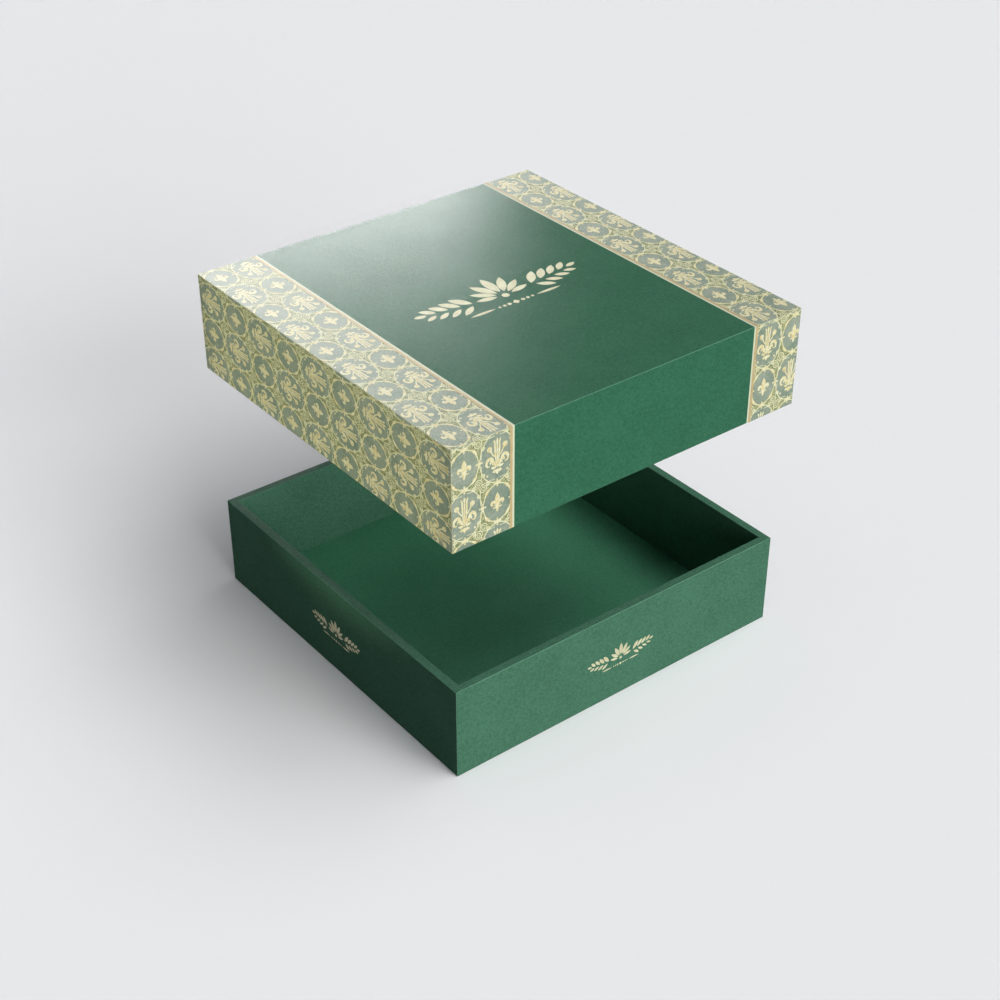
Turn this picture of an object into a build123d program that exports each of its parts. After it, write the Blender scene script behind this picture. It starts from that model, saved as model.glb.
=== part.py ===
from build123d import *
import os

# Two-piece sweet box: a square tray and a lift-off lid, both of greyboard covered in paper.
# The origin is the middle of the tray's underside, on the table. +Z is up, -Y is the front.
# The lid is shown lifted straight above the tray. All sizes are in millimetres.

# The tray, an 8 x 8 x 2 inch box
base_width = 203.0
base_height = 51.3
base_board = 2.0
base_board_layers = 2

# The lid
lid_height = 52.45
lid_board = 1.5
lid_gap_at_rest = 80.7
side_clearance = 0.4

# Papers, tape and foil
wrap = 0.2
liner = 0.15
band_paper = 0.1
foil = 0.04
tape = 0.12
tape_leg = 22.0
tape_short_of_edge = 1.0
base_turn_in = 14.0
lid_turn_in = 14.0
liner_short_of_edge = 3.0
fold_radius = 0.35

# Bands round the lid's two ends, each with a gold line along its inner edge
left_band_width = 34.0
right_band_width = 31.0
edging_width = 1.4
edging_inset = 1.1

# Stamped ornaments
lid_ornament_width = 98.0
base_ornament_width = 43.0

# Sizes worked out from those above
base_wall = base_board_layers * base_board + 2 * wrap
base_inside = base_width - 2 * base_wall
base_board_width = base_width - 2 * wrap
inner_board_width = base_board_width - 2 * base_board
sheet_top = wrap
floor_top = sheet_top + base_board
lid_inside = base_width + 2 * side_clearance
lid_wall = wrap + lid_board + wrap + liner
lid_width = lid_inside + 2 * lid_wall
lid_board_width = lid_width - 2 * wrap
lid_hollow_width = lid_board_width - 2 * lid_board
lid_bottom = base_height + lid_gap_at_rest
lid_top = lid_bottom + lid_height
lid_board_top = lid_top - wrap
lid_board_under = lid_board_top - lid_board


def block(size_x, size_y, bottom, top, x=0.0, y=0.0):
    """An upright block centred on (x, y), between two heights."""
    standing = (Align.CENTER, Align.CENTER, Align.MIN)
    return Pos(x, y, bottom) * Box(size_x, size_y, top - bottom, align=standing)


def ring(outer, inner, bottom, top):
    """Four square walls in one, open above and below."""
    return block(outer, outer, bottom, top) - block(inner, inner, bottom, top)


def four_boards(outer, thickness, bottom, top):
    """Wall boards by side: the left and right ones stand between the front and back ones."""
    reach = (outer - thickness) / 2
    between = outer - 2 * thickness
    return {
        "front": block(outer, thickness, bottom, top, y=-reach),
        "back": block(outer, thickness, bottom, top, y=reach),
        "left": block(thickness, between, bottom, top, x=-reach),
        "right": block(thickness, between, bottom, top, x=reach),
    }


def corner_tapes(outer, bottom, top):
    """Four L-shaped tapes, each pressed flush into the boards round one outside corner."""
    tapes = []
    for side_x in (-1, 1):
        for side_y in (-1, 1):
            middle = outer / 2 - tape_leg / 2
            corner = block(tape_leg, tape_leg, bottom, top, side_x * middle, side_y * middle)
            within = block(tape_leg, tape_leg, bottom, top, side_x * (middle - tape), side_y * (middle - tape))
            tapes.append(corner - within)
    return Compound(children=tapes)


def upright_edges(shape, half_width):
    """The four outside corner edges of a square skin."""
    found = []
    for edge in shape.edges().filter_by(Axis.Z):
        middle = edge.center()
        if abs(abs(middle.X) - half_width) < wrap / 4 and abs(abs(middle.Y) - half_width) < wrap / 4:
            found.append(edge)
    return found


def leaf(length, breadth):
    """A pointed leaf between two arcs, lying along +X with its stalk end at the origin."""
    stalk = (0, 0)
    tip = (length, 0)
    upper = ThreePointArc(stalk, (length / 2, breadth / 2), tip)
    lower = ThreePointArc(tip, (length / 2, -breadth / 2), stalk)
    return Face(Wire([lower, upper]))


def ornament(width):
    """A lotus between two leafy sprigs, over a short beaded rule. Inside, 100 units are its width."""
    unit = width / 100
    faces = []

    def place(shape, x, y, angle=0.0):
        """Puts a shape down, and its mirror image too unless it is on the middle line."""
        faces.append(Pos(x * unit, y * unit) * Rot(0, 0, angle) * shape)
        if x > 0:
            faces.append(Pos(-x * unit, y * unit) * Rot(0, 0, 180 - angle) * shape)

    lotus_y = -7.0
    lotus_heart = 4.5
    place(leaf(16.5 * unit, 5.3 * unit), 0, lotus_y + lotus_heart, 90)
    place(Circle(2.0 * unit), 0, lotus_y)
    for turn, length, breadth in ((28, 15.2, 4.8), (54, 13.4, 4.0), (79, 11.4, 3.5)):
        stalk = Vector(lotus_heart, 0).rotate(Axis.Z, 90 - turn)
        place(leaf(length * unit, breadth * unit), stalk.X, lotus_y + stalk.Y, 90 - turn)

    sprig_start = 18.4
    leaf_pairs = 4
    leaf_step = 6.6
    for pair in range(leaf_pairs):
        x = sprig_start + pair * leaf_step
        y = -5.2 + 1.0 * pair
        length = 12.6 - 1.3 * pair
        breadth = 4.7 - 0.35 * pair
        place(leaf(length * unit, breadth * unit), x, y + 1.0, 52 - 3 * pair)
        place(leaf(0.8 * length * unit, 0.75 * breadth * unit), x + 1.4, y - 1.3, -34 + 5 * pair)
    place(leaf(6.6 * unit, 2.8 * unit), sprig_start + leaf_pairs * leaf_step - 1.2, -0.9, 12)

    rule_y = -15.5
    place(Rectangle(2.8 * unit, 2.8 * unit), 0, rule_y, 45)
    for bead in range(3):
        place(Circle((1.1 - 0.15 * bead) * unit), 4.2 + 3.0 * bead, rule_y)
    place(leaf(15.0 * unit, 1.9 * unit), 12.8, rule_y)
    return faces


def stamp(plane, width):
    """The ornament as thin separate foil pieces standing on a plane."""
    pieces = [extrude(plane * shape, foil, dir=plane.z_dir) for shape in ornament(width)]
    return Compound(children=pieces)


def end_band(outer_x, inner_x, under, over):
    """A sheet over one end of the lid's cover, between two offsets from it, open below."""
    middle = (outer_x + inner_x) / 2
    length = abs(outer_x - inner_x)
    sheet = block(length, lid_width + 2 * over, lid_bottom, lid_top + over, x=middle)
    return sheet - block(lid_width + 2 * under, lid_width + 2 * under, lid_bottom, lid_top + under)


parts = {}

# Tray: floor and outer walls of greyboard, taped at the corners, with a second board inside
# each wall, which gives the thick rim.
base_tapes = corner_tapes(base_board_width, 2 * wrap, base_height - wrap - tape_short_of_edge)
under_turn_in = ring(base_width, base_width - 2 * base_turn_in, sheet_top, sheet_top + wrap)
parts["base_floor_board"] = block(inner_board_width, inner_board_width, sheet_top, floor_top) - under_turn_in
for side, board in four_boards(base_board_width, base_board, sheet_top + wrap, base_height - wrap).items():
    parts[f"base_{side}_wall_board"] = board - base_tapes
for side, board in four_boards(inner_board_width, base_board, floor_top, base_height - wrap).items():
    parts[f"base_{side}_inner_board"] = board
parts["base_corner_tapes"] = base_tapes

# The green cover paper: turned in under the floor, up the outside, over the rim and down inside.
outside_skin = ring(base_width, base_board_width, sheet_top, base_height)
rim_skin = ring(base_width, base_inside, base_height - wrap, base_height)
inside_skin = ring(base_inside + 2 * wrap, base_inside, floor_top, base_height)
base_wrap = outside_skin + rim_skin + inside_skin + under_turn_in
parts["base_wrap"] = fillet(upright_edges(base_wrap, base_width / 2), fold_radius)
sheet_margin = 2.0
sheet_width = base_width - 2 * sheet_margin
parts["base_bottom_sheet"] = block(sheet_width, sheet_width, 0, sheet_top)
parts["base_floor_liner"] = block(base_inside, base_inside, floor_top, floor_top + wrap)

# Gold foil on the tray's front and left sides
front_face = Plane(origin=(0, -base_width / 2, base_height / 2), x_dir=(1, 0, 0), z_dir=(0, -1, 0))
left_face = Plane(origin=(-base_width / 2, 0, base_height / 2), x_dir=(0, -1, 0), z_dir=(-1, 0, 0))
parts["base_front_foil"] = stamp(front_face, base_ornament_width)
parts["base_left_foil"] = stamp(left_face, base_ornament_width)

# Lid: a top board on four wall boards, taped at the corners
lid_tapes = corner_tapes(lid_board_width, lid_bottom + wrap + tape_short_of_edge, lid_board_under)
parts["lid_top_board"] = block(lid_board_width, lid_board_width, lid_board_under, lid_board_top)
for side, board in four_boards(lid_board_width, lid_board, lid_bottom + wrap, lid_board_under).items():
    parts[f"lid_{side}_wall_board"] = board - lid_tapes
parts["lid_corner_tapes"] = lid_tapes

# The green cover paper: over the top, down the sides, round the bottom edge and up inside.
lid_cover = block(lid_width, lid_width, lid_bottom, lid_top)
lid_cover -= block(lid_board_width, lid_board_width, lid_bottom, lid_board_top)
turned_width = lid_hollow_width - 2 * wrap
bottom_edge = ring(lid_width, turned_width, lid_bottom, lid_bottom + wrap)
turned_in = ring(lid_hollow_width, turned_width, lid_bottom, lid_bottom + lid_turn_in)
lid_wrap = lid_cover + bottom_edge + turned_in
parts["lid_wrap"] = fillet(upright_edges(lid_wrap, lid_width / 2), fold_radius)

# Lining paper: it steps in by the cover paper's thickness where it laps over the turned-in edge.
step_height = lid_bottom + lid_turn_in
low_lining = ring(turned_width, lid_inside, lid_bottom + liner_short_of_edge, step_height + liner)
step_lining = ring(lid_hollow_width, lid_inside, step_height, step_height + liner)
high_lining = ring(lid_hollow_width, lid_hollow_width - 2 * liner, step_height, lid_board_under)
parts["lid_wall_liner"] = low_lining + step_lining + high_lining
top_liner_width = lid_hollow_width - 2 * liner
parts["lid_top_liner"] = block(top_liner_width, top_liner_width, lid_board_under - liner, lid_board_under)

# Printed bands over the lid's two ends, and the gold line on each
half_lid = lid_width / 2
for side, sign, band_width in (("left", -1, left_band_width), ("right", 1, right_band_width)):
    band_edge = sign * (half_lid - band_width)
    line_outer = band_edge + sign * (edging_inset + edging_width)
    line_inner = band_edge + sign * edging_inset
    parts[f"lid_{side}_band"] = end_band(sign * (half_lid + band_paper), band_edge, 0, band_paper)
    parts[f"lid_{side}_band_edging"] = end_band(line_outer, line_inner, band_paper, band_paper + foil)

# Gold foil in the middle of the green panel between the bands
panel_middle = (left_band_width - right_band_width) / 2
lid_face = Plane(origin=(panel_middle, 0, lid_top), x_dir=(1, 0, 0), z_dir=(0, 0, 1))
parts["lid_foil_ornament"] = stamp(lid_face, lid_ornament_width)

os.makedirs("parts", exist_ok=True)
for name, shape in parts.items():
    export_step(shape, f"parts/{name}.step")

print("lid outside", round(lid_width + 2 * band_paper, 2), "wall", round(base_wall, 2))
print("lid bottom at rest", round(lid_bottom, 2), "top", round(lid_top + band_paper + foil, 2))
shut_bottom = base_height - (lid_board_under - liner - lid_bottom)
print("lid bottom when it touches the rim", round(shut_bottom, 3))
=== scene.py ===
from math import ceil, cos, degrees, pi, radians, sin
import bmesh
import bpy
from mathutils import Matrix, Vector


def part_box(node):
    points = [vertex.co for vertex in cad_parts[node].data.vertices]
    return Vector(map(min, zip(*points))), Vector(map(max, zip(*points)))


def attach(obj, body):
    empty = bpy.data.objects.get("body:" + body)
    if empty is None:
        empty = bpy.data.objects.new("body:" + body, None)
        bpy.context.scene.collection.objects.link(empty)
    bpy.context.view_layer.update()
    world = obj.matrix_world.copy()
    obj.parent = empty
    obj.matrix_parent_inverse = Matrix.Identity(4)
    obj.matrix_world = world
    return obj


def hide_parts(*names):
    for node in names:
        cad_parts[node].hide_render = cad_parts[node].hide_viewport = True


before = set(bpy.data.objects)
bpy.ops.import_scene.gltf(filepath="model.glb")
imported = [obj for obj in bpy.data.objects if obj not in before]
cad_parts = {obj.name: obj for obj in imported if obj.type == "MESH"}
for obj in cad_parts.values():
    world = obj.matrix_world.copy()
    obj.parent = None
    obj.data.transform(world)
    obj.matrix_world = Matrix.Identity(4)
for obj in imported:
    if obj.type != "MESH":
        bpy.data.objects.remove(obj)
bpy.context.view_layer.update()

# Greyboard. The tray's floor, its outer and inner walls, and the lid's top and walls are cut from
# grey recycled board and glued up; cover paper and lining hide them.
mm = 0.001


class Wire:
    """One output of a finish's nodes. Arithmetic on it adds Math nodes."""

    def __init__(self, finish, socket):
        self.finish = finish
        self.socket = socket

    def math(self, operation, *others):
        """A Math node on this output and any others."""
        return self.finish.node("Math", {"operation": operation}, dict(enumerate((self, *others))))

    def __add__(self, other):
        return self.math("ADD", other)

    def __sub__(self, other):
        return self.math("SUBTRACT", other)

    def __rsub__(self, other):
        return self.math("MULTIPLY_ADD", -1, other)

    def __mul__(self, other):
        return self.math("MULTIPLY", other)

    def __truediv__(self, other):
        return self.math("DIVIDE", other)

    def __abs__(self):
        return self.math("ABSOLUTE")

    __radd__ = __add__
    __rmul__ = __mul__

    def rise(self, low, high):
        """0 up to low, 1 from high on, and smooth between them."""
        span = {"Value": self, "From Min": low, "From Max": high}
        return self.finish.node("MapRange", {"interpolation_type": "SMOOTHSTEP"}, span)


class Finish:
    """A material: constants stand on the shader's own sockets, and nodes feed the rest."""

    def __init__(self, name, constants):
        self.material = bpy.data.materials.new(name)
        self.material.use_nodes = True
        self.tree = self.material.node_tree
        self.shader = self.tree.nodes["Principled BSDF"]
        for socket, value in constants.items():
            self.shader.inputs[socket].default_value = value

    def node(self, kind, settings=None, inputs=None, output=0):
        """Adds any node: its settings first, then the values or links of its sockets."""
        node = self.tree.nodes.new("ShaderNode" + kind)
        for setting, value in (settings or {}).items():
            setattr(node, setting, value)
        for socket, value in (inputs or {}).items():
            self.put(node.inputs[socket], value)
        return Wire(self, node.outputs[output])

    def put(self, socket, value):
        """Links a socket to an output, or sets it to a value."""
        if isinstance(value, Wire):
            self.tree.links.new(value.socket, socket)
        else:
            socket.default_value = value

    def shade(self, **values):
        """Feeds the shader's sockets, named with underscores for spaces."""
        for name, value in values.items():
            self.put(self.shader.inputs[name.replace("_", " ")], value)

    def blend(self, share, first, second):
        """A colour between two others."""
        return self.node("Mix", {"data_type": "RGBA"}, {0: share, 6: first, 7: second}, 2)

    def place(self):
        """Where the surface is, in metres, in the box's own frame."""
        return self.node("TexCoord", output="Object")

    def split(self, vector):
        """The three coordinates of a vector."""
        axes = self.node("SeparateXYZ", {}, {0: vector}).socket.node.outputs
        return [Wire(self, axis) for axis in axes]

    def stretch(self, place, scale=(1, 1, 1), turn=(0, 0, 0)):
        """Coordinates that are scaled and turned: a pattern is longer where its scale is smaller."""
        return self.node("Mapping", {}, {"Vector": place, "Scale": scale, "Rotation": turn})

    def noise(self, place, size, detail=2.0, roughness=0.5, distortion=0.0):
        """Soft random mottling, with spots about as large as size."""
        return self.node("TexNoise", {}, {
            "Vector": place, "Scale": 1 / size, "Detail": detail,
            "Roughness": roughness, "Distortion": distortion})

    def relief(self, height, depth):
        """A normal from a height of 0 to 1 that stands depth metres high."""
        return self.node("Bump", {}, {"Height": height, "Distance": depth})

    def foldedness(self):
        """0 on flat walls and 1 on the rounded folds between them."""
        normal = self.node("NewGeometry", output="True Normal")
        x, y, z = (abs(axis) for axis in self.split(normal))
        most_along_one_axis = x.math("MAXIMUM", y.math("MAXIMUM", z))
        return (1 - most_along_one_axis).rise(0.0, 0.14)


def finish_node(node_name, finish):
    """Gives a carried-over CAD node its finish."""
    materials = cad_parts[node_name].data.materials
    materials.clear()
    materials.append(finish.material)


board_dark = (0.19, 0.175, 0.155, 1)
board_pale = (0.42, 0.39, 0.34, 1)
greyboard = Finish("greyboard", {"Specular IOR Level": 0.2})
board_place = greyboard.place()
board_pulp = greyboard.noise(board_place, 6 * mm, detail=4)
board_grain = greyboard.stretch(board_place, (1, 0.12, 1))
board_fibre = greyboard.noise(board_grain, 0.6 * mm, detail=3, roughness=0.7)
greyboard.shade(
    Base_Color=greyboard.blend(board_fibre * 0.7 + board_pulp * 0.3, board_dark, board_pale),
    Roughness=0.82 + board_fibre * 0.12,
    Normal=greyboard.relief(board_fibre, 0.03 * mm))
finish_node("base_floor_board", greyboard)
finish_node("lid_top_board", greyboard)
for side in ("front", "back", "left", "right"):
    finish_node(f"base_{side}_wall_board", greyboard)
    finish_node(f"base_{side}_inner_board", greyboard)
    finish_node(f"lid_{side}_wall_board", greyboard)

# Corner tapes. Gummed brown kraft paper, one strip folded round each outside corner of the tray
# and of the lid, holds the wall boards together before the cover paper goes on.
kraft_dark = (0.25, 0.15, 0.075, 1)
kraft_pale = (0.43, 0.29, 0.16, 1)
kraft = Finish("kraft tape", {"Specular IOR Level": 0.25})
kraft_grain = kraft.stretch(kraft.place(), (1, 1, 0.15))
kraft_fibre = kraft.noise(kraft_grain, 0.5 * mm, detail=4, roughness=0.65)
kraft.shade(
    Base_Color=kraft.blend(kraft_fibre, kraft_dark, kraft_pale),
    Roughness=0.6 + kraft_fibre * 0.2,
    Normal=kraft.relief(kraft_fibre, 0.02 * mm))
finish_node("base_corner_tapes", kraft)
finish_node("lid_corner_tapes", kraft)

# The tray's cover paper. One sheet of deep green paper, finely embossed, is turned in under the
# floor, goes up the walls, is folded over the thick rim and runs down inside to the floor. A
# second sheet of it closes the underside.
# Paler green for the sharp folds: a painted highlight along each fold, over rubbed wear.
fold_highlight_green = (0.16, 0.32, 0.24, 1)
pebble_size = 1.4 * mm
grain_size = 0.5 * mm
cloud_size = 26 * mm


def green_paper(name, emboss, gloss, dark_green, green):
    """Deep green paper with a fine grained emboss. Its tone is mottled, partly at random and partly
    with painted light and shade on the emboss's pebbles, and it is paler on its sharp folds, where a
    highlight is painted over rubbed wear.
    """
    paper = Finish(name, {"Specular IOR Level": gloss})
    place = paper.place()
    slanted = paper.stretch(place, (1.0, 1.6, 1.3), (0.5, 0.3, 0.6))
    pebble = paper.noise(slanted, pebble_size, distortion=0.6)
    grain = paper.noise(place, grain_size, detail=3, roughness=0.6)
    cloud = paper.noise(place, cloud_size, detail=3)
    # Random clouds and grain, plus painted light and shade that follow the emboss's pebbles: paler
    # where the relief stands higher.
    mottle_and_relief_shade = cloud * 0.2 + pebble * 0.6 + grain * 0.2
    body = paper.blend(mottle_and_relief_shade.rise(0.36, 0.64), dark_green, green)
    # Painted highlight on the folds, mixed with rubbed wear.
    rubbed_and_highlight = paper.foldedness() * (0.35 + grain * 0.5)
    paper.shade(
        Base_Color=paper.blend(rubbed_and_highlight, body, fold_highlight_green),
        Roughness=0.17 + pebble * 0.04 + grain * 0.02,
        Normal=paper.relief(pebble * 0.95 + grain * 0.05, emboss))
    return paper


def block(bm, low, high):
    """A rectangular block between two corners."""
    low = Vector(low)
    high = Vector(high)
    corners = bmesh.ops.create_cube(bm, size=1)["verts"]
    bmesh.ops.scale(bm, vec=high - low, verts=corners)
    bmesh.ops.translate(bm, vec=(low + high) / 2, verts=corners)


def facing(bm, way):
    """The faces that point one way."""
    bm.normal_update()
    least_cosine = 0.9
    return [face for face in bm.faces if face.normal.dot(Vector(way)) > least_cosine]


def push_in(bm, face, margin, depth):
    """Sinks the middle of a face, leaves its margin, and returns the sunk middle."""
    inwards = -face.normal.copy()
    bmesh.ops.inset_region(bm, faces=[face], thickness=margin, use_even_offset=True)
    sunk = bmesh.ops.extrude_face_region(bm, geom=[face])["geom"]
    corners = [part for part in sunk if isinstance(part, bmesh.types.BMVert)]
    bmesh.ops.translate(bm, vec=depth * inwards, verts=corners)
    bmesh.ops.delete(bm, geom=[face], context="FACES_ONLY")
    return [part for part in sunk if isinstance(part, bmesh.types.BMFace)]


def round_folds(bm, radius):
    """Rounds every square fold between two faces of a sheet."""
    bm.normal_update()
    least_angle = radians(60)
    joined = [edge for edge in bm.edges if len(edge.link_faces) == 2]
    folds = [edge for edge in joined if edge.calc_face_angle() > least_angle]
    bmesh.ops.bevel(
        bm, geom=folds, offset=radius, offset_type="OFFSET", segments=4, profile=0.5,
        affect="EDGES", clamp_overlap=True, material=-1)


def make_piece(name, bm, finish):
    """A piece of the box from a bmesh that already stands in its place."""
    mesh = bpy.data.meshes.new(name)
    bm.to_mesh(mesh)
    bm.free()
    mesh.materials.append(finish.material)
    piece = bpy.data.objects.new(name, mesh)
    bpy.context.scene.collection.objects.link(piece)
    return piece


# These greens are paler and greyer than the lid's green of the same paper: a whitish sheen from the
# lamps is painted into them, on every side.
tray_dark_green_and_painted_sheen = (0.053, 0.144, 0.090, 1)
tray_green_and_painted_sheen = (0.075, 0.197, 0.126, 1)
cover_paper = green_paper(
    "green cover paper", emboss=0.2 * mm, gloss=0.003,
    dark_green=tray_dark_green_and_painted_sheen, green=tray_green_and_painted_sheen)
wrap = 0.19 * mm
fold_radius = 0.32 * mm
tray_low, tray_high = (Vector(corner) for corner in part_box("base_wrap"))
floor_low, floor_high = (Vector(corner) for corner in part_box("base_floor_liner"))
rim_width = tray_high.x - floor_high.x
tray_turn_in = 14 * mm

bm = bmesh.new()
block(bm, tray_low, tray_high)
well_depth = tray_high.z - floor_low.z
well_floor = push_in(bm, facing(bm, (0, 0, 1))[0], rim_width, well_depth)
underside = facing(bm, (0, 0, -1))
bmesh.ops.inset_region(bm, faces=underside, thickness=tray_turn_in, use_even_offset=True)
bmesh.ops.delete(bm, geom=well_floor + underside, context="FACES")
round_folds(bm, fold_radius)
bmesh.ops.solidify(bm, geom=bm.faces[:], thickness=wrap)
tray_cover = make_piece("tray_cover_paper", bm, cover_paper)
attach(tray_cover, "base")
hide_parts("base_wrap")
finish_node("base_bottom_sheet", cover_paper)

# The tray's floor lining. A square of green paper, with a flatter emboss than the cover, is glued to
# the floor between the walls. Its green is painted paler and brighter than the cover's, as light for
# the floor of the tray, which the walls and the lid shade.
# Painted light: these greens are lifted to brighten the shaded floor of the tray.
lit_lining_dark_green = (0.072, 0.265, 0.150, 1)
lit_lining_green = (0.096, 0.315, 0.186, 1)
lining_paper = green_paper(
    "green lining paper", emboss=0.15 * mm, gloss=0.002,
    dark_green=lit_lining_dark_green, green=lit_lining_green)
finish_node("base_floor_liner", lining_paper)

# Gold foil. The ornaments on the tray's front and left side are stamped with hot foil, pale gold
# and satin, pressed flat into the paper.
foil_gold = (0.71, 0.70, 0.47, 1)
foil_deep_gold = (0.57, 0.54, 0.33, 1)


def gold_foil(name, pale, deep, shine, press_size=5 * mm):
    """Satin gold, clouded a little where the stamp pressed harder; shine is how much like metal."""
    foil = Finish(name, {"Specular IOR Level": 0.06 + shine})
    place = foil.place()
    pressure = foil.noise(place, press_size, detail=3)
    grain = foil.noise(place, 0.4 * mm, detail=2, roughness=0.6)
    foil.shade(
        Base_Color=foil.blend((pressure * 0.7 + grain * 0.3).rise(0.3, 0.7), deep, pale),
        Roughness=0.42 + grain * 0.12,
        Normal=foil.relief(grain, 0.012 * mm))
    if shine > 0:
        foil.shade(Metallic=shine * (0.5 + pressure))
    return foil


stamped_gold = gold_foil("stamped gold foil", foil_gold, foil_deep_gold, shine=0.4)
finish_node("base_front_foil", stamped_gold)
finish_node("base_left_foil", stamped_gold)

# The lid's cover paper. The same green paper, glazed a little, goes over the top, down the walls,
# round their bottom edge and a little way up inside, where the lining laps over it.
lid_low, lid_high = (Vector(corner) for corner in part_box("lid_wrap"))
lid_wall = 1.9 * mm
lid_turn_in = 14 * mm
lid_dark_green = (0.027, 0.115, 0.063, 1)
lid_green = (0.041, 0.155, 0.087, 1)
glazed_paper = green_paper(
    "glazed green cover paper", emboss=0.09 * mm, gloss=0.02,
    dark_green=lid_dark_green, green=lid_green)

bm = bmesh.new()
block(bm, lid_low, lid_high)
hollow = push_in(bm, facing(bm, (0, 0, -1))[0], lid_wall, lid_turn_in)
bmesh.ops.delete(bm, geom=hollow, context="FACES")
round_folds(bm, fold_radius)
bmesh.ops.solidify(bm, geom=bm.faces[:], thickness=wrap)
lid_cover = make_piece("lid_cover_paper", bm, glazed_paper)
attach(lid_cover, "lid")
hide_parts("lid_wrap")

# The lid's lining. Green paper inside the lid, one strip round the walls over the turned-in
# cover paper and one square under the top.
finish_node("lid_wall_liner", lining_paper)
finish_node("lid_top_liner", lining_paper)

# The printed bands. A sheet of paper over each end of the lid, folded down the end and down the
# front and back. It is printed with medallions, teal inside and olive between them, which start
# again at the top of the front strip.
half_lid = lid_high.x
lid_top = lid_high.z
lid_wall_height = lid_high.z - lid_low.z
band_paper = 0.05 * mm
band_fold_radius = 0.25 * mm
column_pitch = 17.8 * mm
row_pitch = 23.3 * mm
first_row = half_lid - 11.0 * mm
first_front_row = -half_lid - 12.2 * mm
large_ring = Vector((9.6 * mm, 13.0 * mm, 0))
small_ring = Vector((7.9 * mm, 9.9 * mm, 0))
border_edge = 1.1 * mm
line_width = 1.4 * mm
band_signs = {"left": -1, "right": 1}
band_widths = {
    "left": half_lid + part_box("lid_left_band")[1][0],
    "right": half_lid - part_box("lid_right_band")[0][0]}
first_columns = {"left": -half_lid + 24.6 * mm, "right": half_lid - 21.5 * mm}
dark_teal = (0.15, 0.22, 0.165, 1)
pale_teal = (0.37, 0.41, 0.32, 1)
dark_olive = (0.17, 0.21, 0.10, 1)
pale_olive = (0.46, 0.47, 0.26, 1)
border_cream = (0.62, 0.66, 0.47, 1)
# Pale cream for the band's folds: a painted highlight along each fold, over worn print.
fold_highlight_cream = (0.60, 0.60, 0.48, 1)


def unfolded(point, normal):
    """Where a point of the lid's skin lies when the skin is unfolded flat round the top. The front
    strip is moved along, so that its own first row comes where the top's is."""
    drop = lid_top - point.z
    lying_flat = 0.7
    if abs(normal.z) > lying_flat:
        return point.x, point.y
    if abs(normal.x) > abs(normal.y):
        return (half_lid + drop) * (1 if point.x > 0 else -1), point.y
    if normal.y > 0:
        return point.x, half_lid + drop
    return point.x, first_row - first_front_row - half_lid - drop


def band_finish(side):
    """The printed paper of one band: teal medallions on olive, a cream border line, and a paler
    cream on the folds, where a highlight is painted over worn print.
    """
    paper = Finish(f"printed paper {side}", {"Specular IOR Level": 0.06})
    flat = paper.node("UVMap", {"uv_map": "unfolded"})
    across, along, _ = paper.split(flat)
    column = (across - first_columns[side]) / column_pitch
    row = (first_row - along) / row_pitch
    column_number = column.math("ROUND", column)
    row_number = row.math("ROUND", row)
    small = (column_number + row_number).math("PINGPONG", 1)
    inside = []
    for ring, teal_share in ((large_ring, 0.95), (small_ring, 0.9)):
        from_middle_x = (column - column_number) * (column_pitch / ring.x / teal_share)
        from_middle_y = (row - row_number) * (row_pitch / ring.y / teal_share)
        distance = (from_middle_x * from_middle_x + from_middle_y * from_middle_y).math("SQRT")
        inside.append(1 - distance.rise(0.98, 1.02))
    medallion = inside[0] + small * (inside[1] - inside[0])
    slanted = paper.stretch(paper.stretch(flat, turn=(0, 0, radians(45))), (1, 0.35, 1))
    fleck = paper.noise(slanted, 0.6 * mm, detail=3, roughness=0.6, distortion=0.5)
    cloud = paper.noise(paper.place(), 9 * mm, detail=3)
    teal = paper.blend((fleck * 0.6 + cloud * 0.4).rise(0.25, 0.75), dark_teal, pale_teal)
    olive = paper.blend(fleck.rise(0.40, 0.62), dark_olive, pale_olive)
    from_inner_edge = abs(across) - (half_lid - band_widths[side])
    border = 1 - from_inner_edge.rise(border_edge - 0.05 * mm, border_edge + 0.05 * mm)
    printed = paper.blend(border, paper.blend(medallion, olive, teal), border_cream)
    # Painted highlight on the folds, mixed with wear.
    worn_and_highlight = paper.foldedness() * (0.5 + fleck * 0.5)
    paper.shade(
        Base_Color=paper.blend(worn_and_highlight, printed, fold_highlight_cream),
        Roughness=0.4 + fleck * 0.15,
        Normal=paper.relief(fleck * 0.5 + cloud * 0.5, 0.05 * mm))
    return paper


def band_sheet(side):
    """The sheet over one end of the lid, with its unfolded place in its UV map."""
    sign = band_signs[side]
    outer = half_lid + band_paper
    inner = half_lid - band_widths[side]
    left, right = sorted((sign * inner, sign * outer))
    bm = bmesh.new()
    block(bm, (left, -outer, lid_low.z), (right, outer, lid_top + band_paper))
    open_faces = facing(bm, (0, 0, -1)) + facing(bm, (-sign, 0, 0))
    bmesh.ops.delete(bm, geom=open_faces, context="FACES")
    round_folds(bm, band_fold_radius)
    bmesh.ops.solidify(bm, geom=bm.faces[:], thickness=band_paper)
    flat = bm.loops.layers.uv.new("unfolded")
    bm.normal_update()
    for face in bm.faces:
        for loop in face.loops:
            loop[flat].uv = unfolded(loop.vert.co, face.normal)
    return bm


for side in band_signs:
    band = make_piece(f"lid_{side}_printed_band", band_sheet(side), band_finish(side))
    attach(band, "lid")
    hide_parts(f"lid_{side}_band")

# The gold print on the bands. Gold ink, a little raised, draws the medallions' rings, the lilies
# and branches inside them, and the scrolls between them. Its stencils are drawn in millimetres.
ink_height = 0.018
ink_sunk = 0.01
ink_layer = 0.00003


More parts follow.
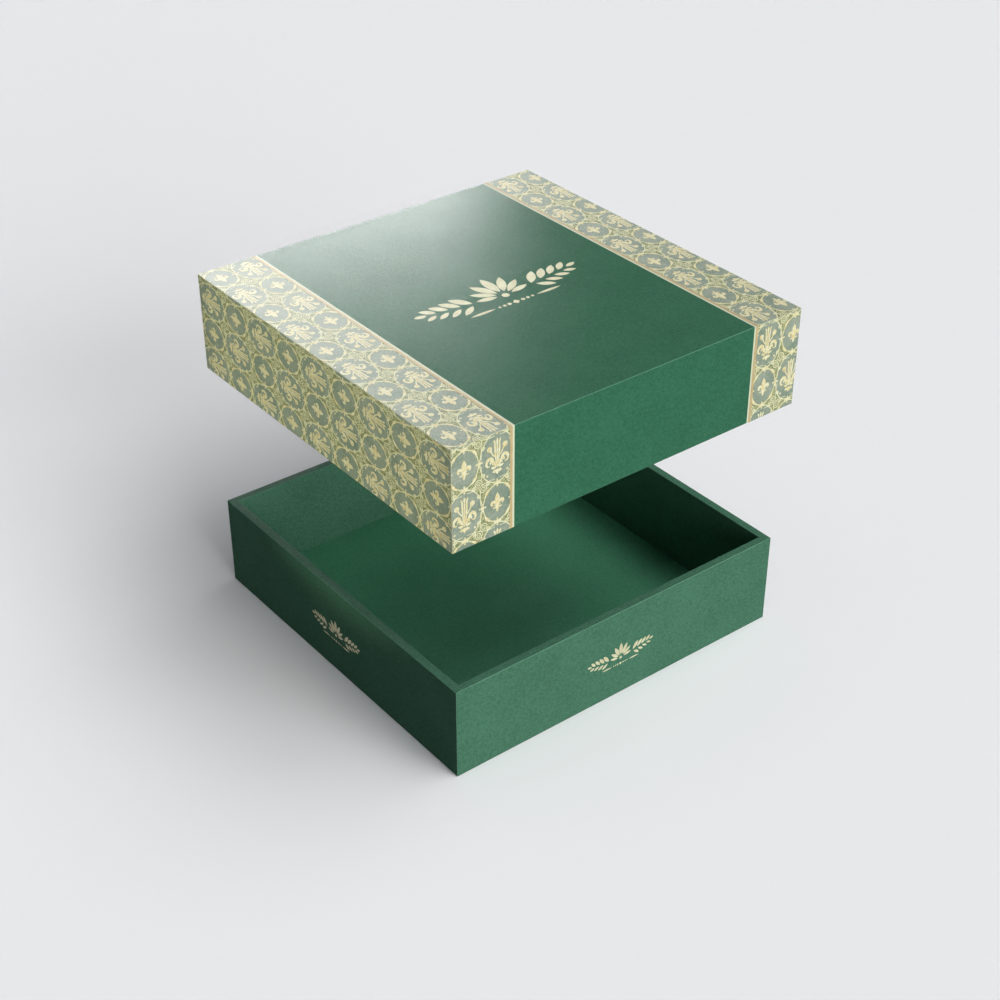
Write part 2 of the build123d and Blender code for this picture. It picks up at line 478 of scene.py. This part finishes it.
def stroke(bm, start, heading, bends, widths, step=0.59):
    """A brush stroke lying flat. It leaves start at a heading in degrees and follows its bends,
    each a length and a turn to the left; its widths are spread evenly along it, and step is the
    longest run between two of its cross-lines. It lies a hair above all that is drawn before it."""
    total = sum(length for length, turn in bends)
    most_turn = 26
    middle = Vector((*start, len(bm.faces) * ink_layer))
    direction = Matrix.Rotation(radians(heading), 3, "Z") @ Vector((1, 0, 0))
    across = Matrix.Rotation(radians(90), 3, "Z") @ direction
    gone = 0
    width = widths[0]
    ends = [bm.verts.new(middle + across * width / 2), bm.verts.new(middle - across * width / 2)]
    edge = bm.edges.new(ends)
    for length, turn in bends:
        steps = max(2, ceil(length / step), ceil(abs(turn) / most_turn))
        half_turn = Matrix.Rotation(radians(turn / steps / 2), 3, "Z")
        for _ in range(steps):
            grown = bmesh.ops.extrude_edge_only(bm, edges=[edge])["geom"]
            ends = [part for part in grown if isinstance(part, bmesh.types.BMVert)]
            edge = bm.edges.get(ends)
            direction = half_turn @ direction
            move = direction * length / steps
            bmesh.ops.translate(bm, vec=move, verts=ends)
            middle = middle + move
            bmesh.ops.rotate(bm, cent=middle, matrix=half_turn @ half_turn, verts=ends)
            direction = half_turn @ direction
            gone += length / steps
            station = gone / total * (len(widths) - 1)
            before = min(int(station), len(widths) - 2)
            new_width = widths[before] + (widths[before + 1] - widths[before]) * (station - before)
            growth = new_width / width
            from_middle = Matrix.Translation(-middle)
            bmesh.ops.scale(bm, vec=(growth, growth, growth), verts=ends, space=from_middle)
            width = new_width


def petal(bm, start, heading, length, breadth, bend=0):
    """A pointed leaf that starts and ends thin."""
    widths = (0.25 * breadth, 0.8 * breadth, breadth, 0.75 * breadth, 0.08)
    stroke(bm, start, heading, [(length, bend)], widths, step=length / 6)


def dot(bm, middle, radius):
    """A round dot of ink."""
    height = len(bm.faces) * ink_layer
    corners = bmesh.ops.create_circle(bm, cap_ends=True, radius=radius, segments=10)["verts"]
    bmesh.ops.translate(bm, vec=(*middle, height), verts=corners)


def mirrored(bm):
    """Adds the mirror image of everything drawn so far, on the other side of the middle line."""
    drawn = bm.verts[:] + bm.edges[:] + bm.faces[:]
    copied = bmesh.ops.duplicate(bm, geom=drawn)["geom"]
    corners = [part for part in copied if isinstance(part, bmesh.types.BMVert)]
    bmesh.ops.scale(bm, vec=(-1, 1, 1), verts=corners)
    bmesh.ops.translate(bm, vec=(0, 0, ink_layer / 2), verts=corners)


def ink(bm):
    """Thickens flat shapes into closed, slightly raised ink, and keeps them as a stencil."""
    bmesh.ops.translate(bm, vec=(0, 0, ink_height), verts=bm.verts[:])
    lowered = bmesh.ops.extrude_face_region(bm, geom=bm.faces[:], use_keep_orig=True)["geom"]
    corners = [part for part in lowered if isinstance(part, bmesh.types.BMVert)]
    bmesh.ops.translate(bm, vec=(0, 0, -ink_height - ink_sunk), verts=corners)
    bmesh.ops.scale(bm, vec=(mm, mm, mm), verts=bm.verts[:])
    bmesh.ops.recalc_face_normals(bm, faces=bm.faces[:])
    stencil = bpy.data.meshes.new("stencil")
    bm.to_mesh(stencil)
    bm.free()
    return stencil


def ring_stencil(ring):
    """A medallion's ring: a thin line round an upright oval."""
    radius = ring.x / mm
    line = 0.48
    sides = 44
    bm = bmesh.new()
    inner = bm.verts.new((radius - line, 0, 0))
    outer = bm.verts.new((radius, 0, 0))
    start = bm.edges.new((inner, outer))
    bmesh.ops.spin(
        bm, geom=[inner, outer, start], cent=(0, 0, 0), axis=(0, 0, 1), angle=2 * pi, steps=sides,
        use_merge=True)
    bmesh.ops.scale(bm, vec=(1, ring.y / ring.x, 1), verts=bm.verts[:])
    return ink(bm)


def branch_stencil():
    """The large medallion's flowering branch: a crowned triple stem between two flowers, two curled
    wings and a foot with three petals."""
    bm = bmesh.new()
    stroke(bm, (1.5, 0.6), 52, [(4.2, 12)], (0.6, 0.7, 0.5))
    dot(bm, (4.2, 5.0), 1.4)
    petal(bm, (2.8, 3.6), 8, 2.6, 1.2, 40)
    wing = [(4.6, 22), (2.6, -110), (3.0, -70), (2.0, -110)]
    stroke(bm, (0.5, -4.6), 48, wing, (0.8, 1.2, 1.7, 1.6, 1.1, 0.5))
    petal(bm, (2.4, -0.8), -30, 2.6, 1.4, -50)
    petal(bm, (1.0, -2.0), -16, 2.6, 1.2, -60)
    petal(bm, (0.6, -5.0), -8, 3.0, 1.4, 40)
    petal(bm, (0.3, -6.6), -22, 2.4, 1.7, 20)
    petal(bm, (1.1, 6.9), 70, 2.3, 1.0)
    dot(bm, (5.5, -8.0), 0.6)
    stroke(bm, (0.6, -3.4), 84, [(11.4, 5)], (0.5, 0.7, 0.9, 0.95, 0.7))
    mirrored(bm)
    stroke(bm, (0, -5.4), 90, [(13.2, 0)], (0.7, 0.8, 0.7, 0.8, 0.8))
    petal(bm, (0, 6.6), 90, 3.0, 1.2)
    petal(bm, (0, -6.0), -90, 2.8, 1.9)
    return ink(bm)


def lily_stencil():
    """The small medallion's lily, three petals, a waist band and a tail, and the four leaves that
    lie along its ring."""
    bm = bmesh.new()
    curled_petal = [(2.0, -34), (2.0, -130), (1.1, -100)]
    stroke(bm, (0.5, -0.7), 62, curled_petal, (0.7, 1.6, 1.5, 0.6))
    stroke(bm, (0.35, -1.5), -62, [(1.5, 40), (1.1, 90)], (0.6, 0.9, 0.4))
    ring = small_ring / mm
    leaf_start = radians(30)
    leaf_end = radians(60)
    for upwards in (1, -1):
        start = Vector((ring.x * cos(leaf_start), upwards * ring.y * sin(leaf_start)))
        end = Vector((ring.x * cos(leaf_end), upwards * ring.y * sin(leaf_end)))
        bend = upwards * 24
        heading = upwards * degrees((end - start).angle(Vector((1, 0)))) - bend / 2
        petal(bm, start, heading, (end - start).length, 1.5, bend)
    mirrored(bm)
    petal(bm, (0, -0.8), 90, 5.8, 2.7)
    petal(bm, (0, -1.2), -90, 3.8, 1.7)
    stroke(bm, (-1.7, -1.1), 0, [(3.4, 0)], (0.6, 0.85, 0.6))
    return ink(bm)


def spiral(bm, start, heading, radius, hand):
    """A thin line that curls up: hand is 1 to the left and -1 to the right."""
    bends = [(radius * share * pi, 180 * hand) for share in (1.0, 0.74, 0.5, 0.3)]
    stroke(bm, start, heading, bends, (0.34, 0.46, 0.42, 0.34, 0.34), step=1.2)


def scroll_stencil():
    """What fills the gap between four medallions, with the large ones at lower left and upper right:
    a double spiral, and thin stems with small curls that run to the four knots."""
    bm = bmesh.new()
    for turn in (0, 180):
        drawn = set(bm.verts)
        spiral(bm, (0, 0), 42, 2.0, 1)
        spiral(bm, (3.2, 0.9), 24, 1.0, -1)
        spiral(bm, (0.3, 4.7), 92, 0.9, -1)
        stroke(bm, (0.4, 0.2), 16, [(7.2, -22)], (0.4, 0.4, 0.3))
        stroke(bm, (0.1, 2.0), 84, [(8.0, 10)], (0.4, 0.4, 0.3))
        new = [corner for corner in bm.verts if corner not in drawn]
        turned = Matrix.Rotation(radians(turn), 3, "Z")
        bmesh.ops.rotate(bm, cent=(0, 0, 0), matrix=turned, verts=new)
    return ink(bm)


def knot_stencil():
    """A knot where two rings meet: a rosette, and two buds beside it."""
    bm = bmesh.new()
    for sign in (1, -1):
        petal(bm, (0, 0), 90 * sign, 2.3, 1.0)
    for sign in (1, -1):
        petal(bm, (0, 0), 90 - 90 * sign, 1.3, 1.0)
        dot(bm, (1.5 * sign, 0), 0.5)
    dot(bm, (0, 0), 0.7)
    return ink(bm)


large_ring_stencil = ring_stencil(large_ring)
small_ring_stencil = ring_stencil(small_ring)
branch = branch_stencil()
lily = lily_stencil()
scroll = scroll_stencil()
knot = knot_stencil()


def stamp(bm, stencil, x, y, turn=0, flip=False):
    """Prints a stencil at a place of the unfolded sheet."""
    before = len(bm.verts)
    bm.from_mesh(stencil)
    bm.verts.ensure_lookup_table()
    corners = bm.verts[before:]
    if flip:
        bmesh.ops.scale(bm, vec=(-1, 1, 1), verts=corners)
        bmesh.ops.reverse_faces(bm, faces=bm.faces[-len(stencil.polygons):])
    turned = Matrix.Rotation(radians(turn), 3, "Z")
    bmesh.ops.rotate(bm, cent=(0, 0, 0), matrix=turned, verts=corners)
    bmesh.ops.translate(bm, vec=(x, y, 0), verts=corners)


def trim(bm, edge, outwards):
    """Cuts the print off at a straight edge of its panel, and closes the cut."""
    everything = bm.verts[:] + bm.edges[:] + bm.faces[:]
    cut = bmesh.ops.bisect_plane(
        bm, geom=everything, dist=1e-7, plane_co=edge, plane_no=outwards, clear_outer=True)
    loose = [part for part in cut["geom_cut"] if isinstance(part, bmesh.types.BMEdge)]
    bmesh.ops.edgeloop_fill(bm, edges=loose)


def print_panel(side, low, high, top_row, figure_turn, figures):
    """The print of one panel, still unfolded: figures is a function that stamps the stencils of
    one medallion and of the gap at its corner."""
    columns = range(-1, 6)
    rows = range(-4, 13)
    figure_reach = 14 * mm
    bm = bmesh.new()
    for column in columns:
        x = first_columns[side] + band_signs[side] * column * column_pitch
        for row in rows:
            y = top_row - row * row_pitch
            beside = x < low.x - figure_reach or x > high.x + figure_reach
            beyond = y < low.y - figure_reach or y > high.y + figure_reach
            if not beside and not beyond:
                figures(bm, x, y, (column + row) % 2 == 0, figure_turn)
    trim(bm, (low.x, 0, 0), (-1, 0, 0))
    trim(bm, (high.x, 0, 0), (1, 0, 0))
    trim(bm, (0, low.y, 0), (0, -1, 0))
    trim(bm, (0, high.y, 0), (0, 1, 0))
    return bm


def rings_and_scrolls(bm, x, y, large, figure_turn):
    """One medallion's ring, and the scroll in the gap at its corner. Neither needs turning."""
    stamp(bm, large_ring_stencil if large else small_ring_stencil, x, y)
    stamp(bm, scroll, x + column_pitch / 2, y + row_pitch / 2, flip=not large)


def flowers_and_knots(bm, x, y, large, figure_turn):
    """One medallion's figure, and round a large one the four knots where it meets the small ones."""
    stamp(bm, branch if large else lily, x, y, figure_turn)
    if large:
        side_knot = (large_ring.x + column_pitch - small_ring.x) / 2
        end_knot = (large_ring.y + row_pitch - small_ring.y) / 2
        for sign in (1, -1):
            stamp(bm, knot, x + sign * side_knot, y)
            stamp(bm, knot, x, y + sign * end_knot, 90)


def folded_print(side, figures):
    """The print of a whole band, folded round the lid. The lilies point to the front on the top
    and on the end, and stand upright on the front and the back."""
    fold_margin = 0.17 * mm
    bottom_margin = 0.25 * mm
    sign = band_signs[side]
    flat = half_lid - fold_margin
    fold = half_lid + fold_margin
    bottom = half_lid + lid_wall_height - bottom_margin
    inner = half_lid - band_widths[side] + border_edge + line_width
    across = sorted((sign * inner, sign * flat))
    down_end = sorted((sign * fold, sign * bottom))
    panels = (
        (across, (-flat, flat), first_row, 180, (0, 0), "X", 0),
        (down_end, (-flat, flat), first_row, 180, (sign, 0), "Y", sign * 90),
        (across, (-bottom, -fold), first_front_row, 0, (0, -1), "X", 90),
        (across, (fold, bottom), first_row, 180, (0, 1), "X", -90),
    )
    whole = bmesh.new()
    for width, height, top_row, figure_turn, edge, axis, turn in panels:
        low = Vector((width[0], height[0], 0))
        high = Vector((width[1], height[1], 0))
        bm = print_panel(side, low, high, top_row, figure_turn, figures)
        bmesh.ops.translate(bm, vec=(0, 0, lid_top + band_paper), verts=bm.verts[:])
        hinge = Vector((edge[0] * half_lid, edge[1] * half_lid, lid_top))
        folding = Matrix.Rotation(radians(turn), 3, axis)
        bmesh.ops.rotate(bm, cent=hinge, matrix=folding, verts=bm.verts[:])
        panel = bpy.data.meshes.new("panel")
        bm.to_mesh(panel)
        bm.free()
        whole.from_mesh(panel)
        bpy.data.meshes.remove(panel)
    return whole


ring_pale_gold = (0.74, 0.76, 0.54, 1)
ring_deep_gold = (0.63, 0.60, 0.33, 1)
flower_pale_gold = (0.78, 0.78, 0.56, 1)
flower_deep_gold = (0.66, 0.55, 0.24, 1)
ring_gold = gold_foil("pale gold ink", ring_pale_gold, ring_deep_gold, shine=0, press_size=1.5 * mm)
flower_gold = gold_foil("gold ink", flower_pale_gold, flower_deep_gold, shine=0, press_size=1.5 * mm)
prints = (
    ("trellis", rings_and_scrolls, ring_gold),
    ("flowers", flowers_and_knots, flower_gold),
)
for side in band_signs:
    for name, figures, gold in prints:
        band_print = make_piece(f"lid_{side}_band_{name}", folded_print(side, figures), gold)
        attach(band_print, "lid")

# The gold lines. A plain line of gold foil runs along the inner edge of each band, just inside
# the print's cream border.
line_pale_gold = (0.56, 0.44, 0.23, 1)
line_deep_gold = (0.46, 0.35, 0.18, 1)
line_gold = gold_foil("gold line foil", line_pale_gold, line_deep_gold, shine=0.01)
finish_node("lid_left_band_edging", line_gold)
finish_node("lid_right_band_edging", line_gold)

# The lid's ornament. It is stamped with hot foil in the middle of the green panel, in the same
# pale gold as the tray's, but duller.
dull_gold = gold_foil("dull gold foil", foil_gold, foil_deep_gold, shine=0.01)
finish_node("lid_foil_ornament", dull_gold)


# The studio. A pale floor and world, soft lights high in front and on the right, a fill overhead
# and a low soft light in front. A spot lights the lid's left end, and a low lamp behind the box
# glances off the lid's top.
class Sky(Finish):
    """The world, made from the same nodes as a finish."""

    def __init__(self, name):
        world = bpy.data.worlds.new(name)
        world.use_nodes = True
        bpy.context.scene.world = world
        self.tree = world.node_tree
        self.shader = self.tree.nodes["Background"]


def backdrop(finish, light, shown):
    """One colour for the light that it gives, and another where it is seen or mirrored."""
    rays = finish.node("LightPath").socket.node.outputs
    seen = ("Is Camera Ray", "Is Glossy Ray", "Is Transmission Ray")
    camera_ray, glossy_ray, transmission_ray = (Wire(finish, rays[name]) for name in seen)
    return finish.blend(camera_ray + glossy_ray + transmission_ray, light, shown)


floor_size = 14.0
floor_light = (0.20, 0.20, 0.21, 1)
floor_shown = (0.94, 0.945, 0.96, 1)
floor_finish = Finish("studio floor", {"Specular IOR Level": 0.0, "Roughness": 1.0})
floor_finish.shade(Base_Color=backdrop(floor_finish, floor_light, floor_shown))
bm = bmesh.new()
bmesh.ops.create_grid(bm, x_segments=1, y_segments=1, size=floor_size / 2)
floor = make_piece("studio_floor", bm, floor_finish)
sky_light = (0.10, 0.10, 0.105, 1)
sky_shown = (0.783, 0.79, 0.81, 1)
sky = Sky("studio")
sky.shade(Color=backdrop(sky, sky_light, sky_shown))


def way_to(turn, rise):
    """The way to a lamp or the camera, in degrees: turn is from the front towards the right, and
    rise is up from the floor."""
    turn = radians(turn)
    rise = radians(rise)
    return Vector((sin(turn) * cos(rise), -cos(turn) * cos(rise), sin(rise)))


def aim(name, data, place, target):
    """Puts a lamp or the camera at a place and points it at a target."""
    thing = bpy.data.objects.new(name, data)
    thing.location = place
    thing.rotation_euler = (Vector(target) - Vector(place)).to_track_quat("-Z", "Y").to_euler()
    bpy.context.scene.collection.objects.link(thing)
    return thing


def soft_light(name, strength, width, turn, rise):
    """A sun lamp as wide as a large soft box: width is in degrees."""
    lamp = bpy.data.lights.new(name, "SUN")
    lamp.energy = strength
    lamp.angle = radians(width)
    aim(name, lamp, way_to(turn, rise), (0, 0, 0))


soft_light("high front light", strength=0.85, width=34, turn=28, rise=55)
soft_light("high right light", strength=0.65, width=34, turn=78, rise=60)
soft_light("overhead", strength=0.33, width=70, turn=0, rise=88)
soft_light("front light", strength=3.35, width=50, turn=4, rise=12)

end_middle = Vector((-half_lid, 0, (lid_low.z + lid_top) / 2))
spot_place = end_middle + Vector((-0.9, 0, -0.13))
spot = bpy.data.lights.new("spot", "SPOT")
spot.energy = 15
spot.color = (1, 1, 0.75)
spot.spot_size = radians(15)
spot.spot_blend = 0.3
spot.shadow_soft_size = 0.02
aim("spot", spot, spot_place, end_middle).visible_camera = False

top_middle = Vector((0, 0, lid_top))
glance_distance = 2.2
glance_place = top_middle + glance_distance * way_to(172, 18.3)
glance = bpy.data.lights.new("glance", "AREA")
glance.energy = 205
glance.shape = "RECTANGLE"
glance.size = 2.3
glance.size_y = 0.45
glance_lamp = aim("glance", glance, glance_place, top_middle)
glance_lamp.visible_camera = False
glance_lamp.visible_diffuse = False

camera = bpy.data.cameras.new("camera")
camera.lens = 65
camera.sensor_width = 36
camera_distance = 942.3 * mm
camera_aim = Vector((3.4 * mm, 0, 61.7 * mm))
camera_place = camera_aim + camera_distance * way_to(-38.01, 33.6)
bpy.context.scene.camera = aim("camera", camera, camera_place, camera_aim)
bpy.context.scene.view_settings.view_transform = "Standard"
